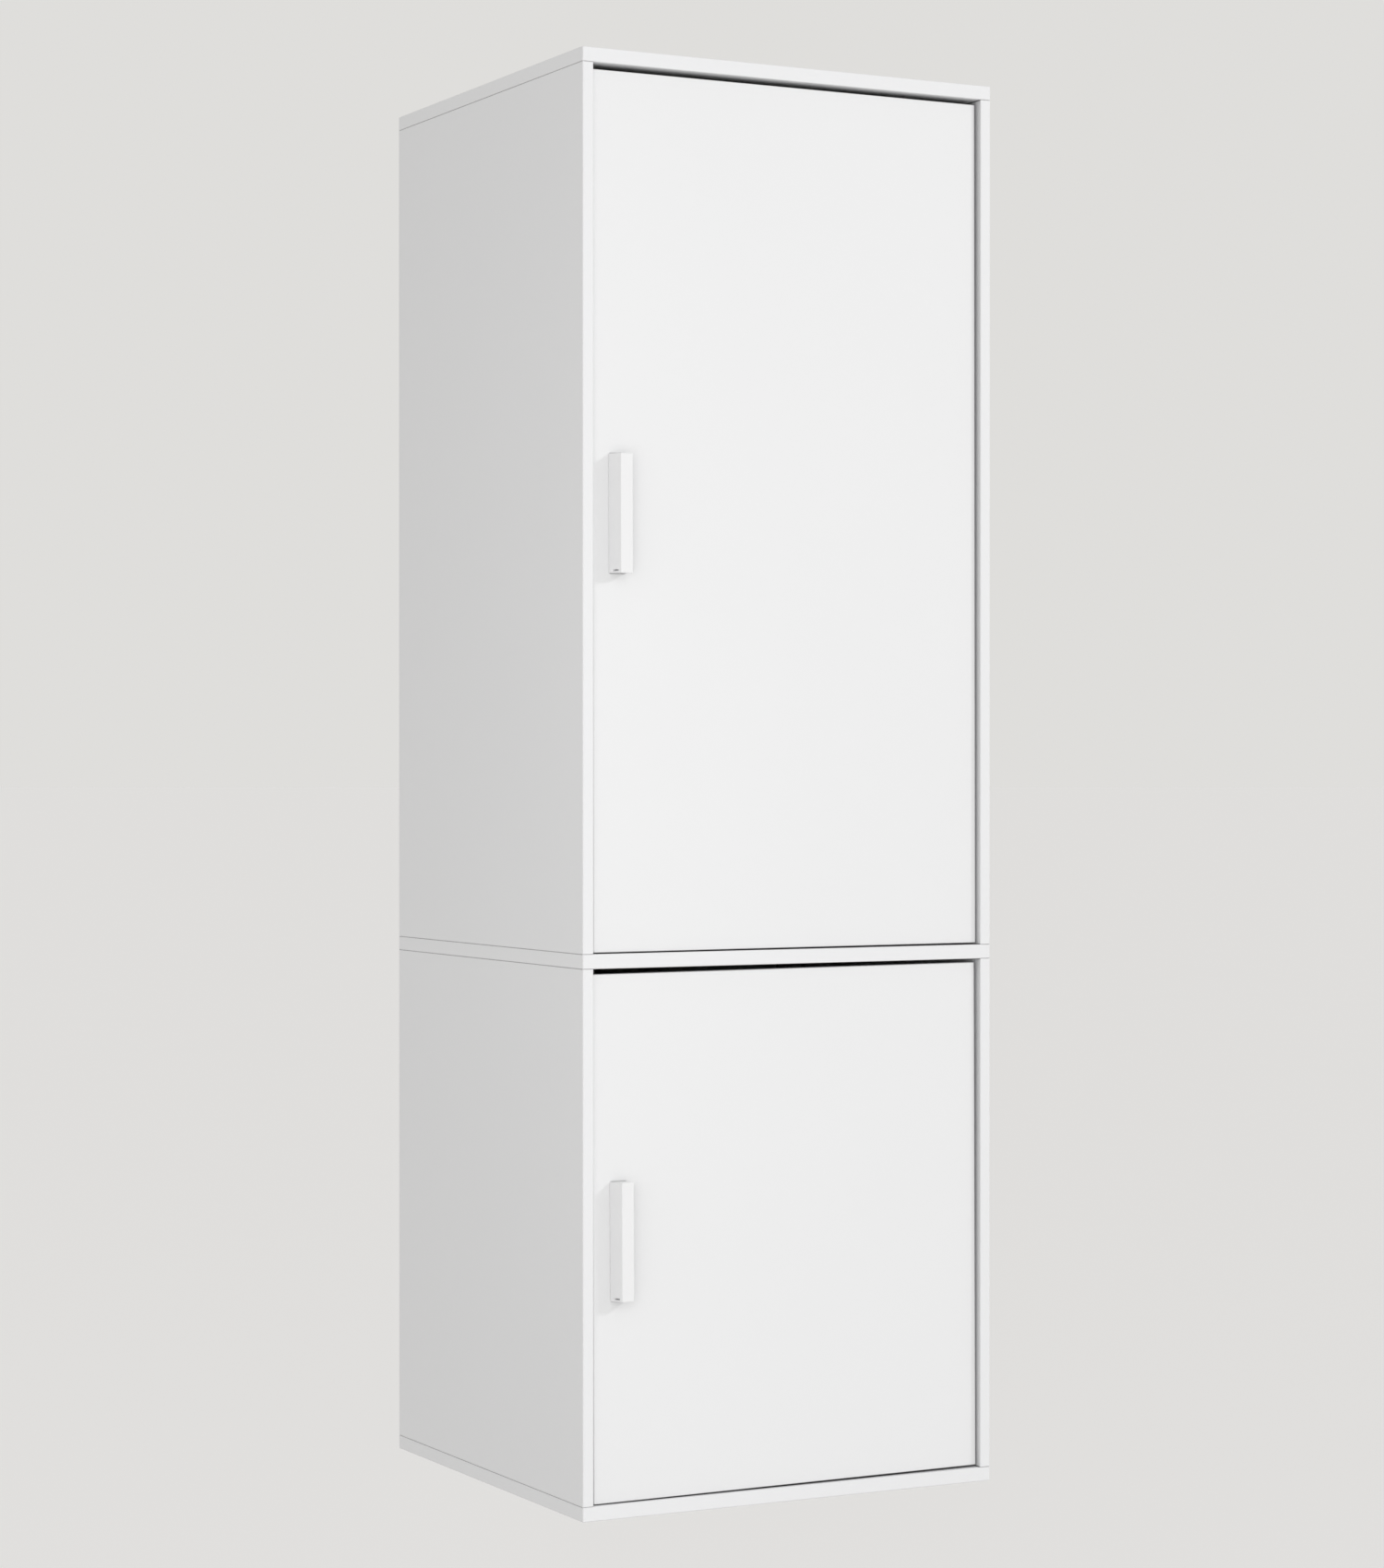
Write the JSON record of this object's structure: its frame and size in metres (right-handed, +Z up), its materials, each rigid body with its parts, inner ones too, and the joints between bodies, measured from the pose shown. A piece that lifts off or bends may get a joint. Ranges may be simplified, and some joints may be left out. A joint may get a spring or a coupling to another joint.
{
  "type": "hanging wall cabinet",
  "caption": "Tall white wall cabinet with a long upper door over a shorter lower door, both inset, hinged on the right and opened by small vertical pull handles.",
  "frame": {"origin": "on the wall, at the middle of the four wall fixing holes", "axes": "+Z up, +X to the right seen from the front, +Y into the wall; the doors face -Y"},
  "size_m": [0.52, 0.5115, 1.6],
  "materials": {
    "carcass_white": "white melamine-faced board, satin",
    "door_white": "white melamine-faced board, satin",
    "back_white": "white melamine-faced board, satin",
    "handle_white": "white powder coat, satin",
    "hinge_steel": "nickel-plated pressed steel",
    "fastener_steel": "zinc-plated",
    "cam_zinc": "die-cast zinc",
    "dowel_wood": "plain beech",
    "stop_plastic": "white moulded plastic",
    "pad_rubber": "translucent soft rubber"
  },
  "bodies": {
    "carcass": {"bottom_board": "carcass_white", "lower_arm_screws": "fastener_steel", "lower_back_panel": "back_white", "lower_cam_bolts": "fastener_steel", "lower_cams": "cam_zinc", "lower_door_stops": "stop_plastic", "lower_dowels": "dowel_wood", "lower_hanging_rail": "carcass_white", "lower_hinge_1_arm": "hinge_steel", "lower_hinge_1_plate": "hinge_steel", "lower_hinge_2_arm": "hinge_steel", "lower_hinge_2_plate": "hinge_steel", "lower_left_side": "carcass_white", "lower_plate_screws": "fastener_steel", "lower_right_side": "carcass_white", "lower_shelf": "carcass_white", "lower_shelf_pins": "fastener_steel", "lower_stop_pads": "pad_rubber", "middle_board": "carcass_white", "rail_dowels": "dowel_wood", "top_board": "carcass_white", "upper_arm_screws": "fastener_steel", "upper_back_panel": "back_white", "upper_cam_bolts": "fastener_steel", "upper_cams": "cam_zinc", "upper_door_stops": "stop_plastic", "upper_dowels": "dowel_wood", "upper_hanging_rail": "carcass_white", "upper_hinge_1_arm": "hinge_steel", "upper_hinge_1_plate": "hinge_steel", "upper_hinge_2_arm": "hinge_steel", "upper_hinge_2_plate": "hinge_steel", "upper_hinge_3_arm": "hinge_steel", "upper_hinge_3_plate": "hinge_steel", "upper_left_side": "carcass_white", "upper_plate_screws": "fastener_steel", "upper_right_side": "carcass_white", "upper_shelf_high": "carcass_white", "upper_shelf_high_pins": "fastener_steel", "upper_shelf_low": "carcass_white", "upper_shelf_low_pins": "fastener_steel", "upper_stop_pads": "pad_rubber"},
    "upper_door": {"upper_door": "door_white", "upper_handle": "handle_white", "upper_handle_screws": "fastener_steel", "upper_cup_screws": "fastener_steel", "upper_hinge_pins": "fastener_steel", "upper_hinge_1_cup": "hinge_steel", "upper_hinge_2_cup": "hinge_steel", "upper_hinge_3_cup": "hinge_steel"},
    "lower_door": {"lower_door": "door_white", "lower_handle": "handle_white", "lower_handle_screws": "fastener_steel", "lower_cup_screws": "fastener_steel", "lower_hinge_pins": "fastener_steel", "lower_hinge_1_cup": "hinge_steel", "lower_hinge_2_cup": "hinge_steel"}
  },
  "joints": [
    {"name": "upper_door_swing", "type": "hinge", "parent": "carcass", "child": "upper_door", "pos_m": [0.2249, -0.488, 0], "axis": [0, 0, 1], "range_deg": [0, 95]},
    {"name": "lower_door_swing", "type": "hinge", "parent": "carcass", "child": "lower_door", "pos_m": [0.2251, -0.488, -0.7], "axis": [0, 0, 1], "range_deg": [0, 95]}
  ]
}
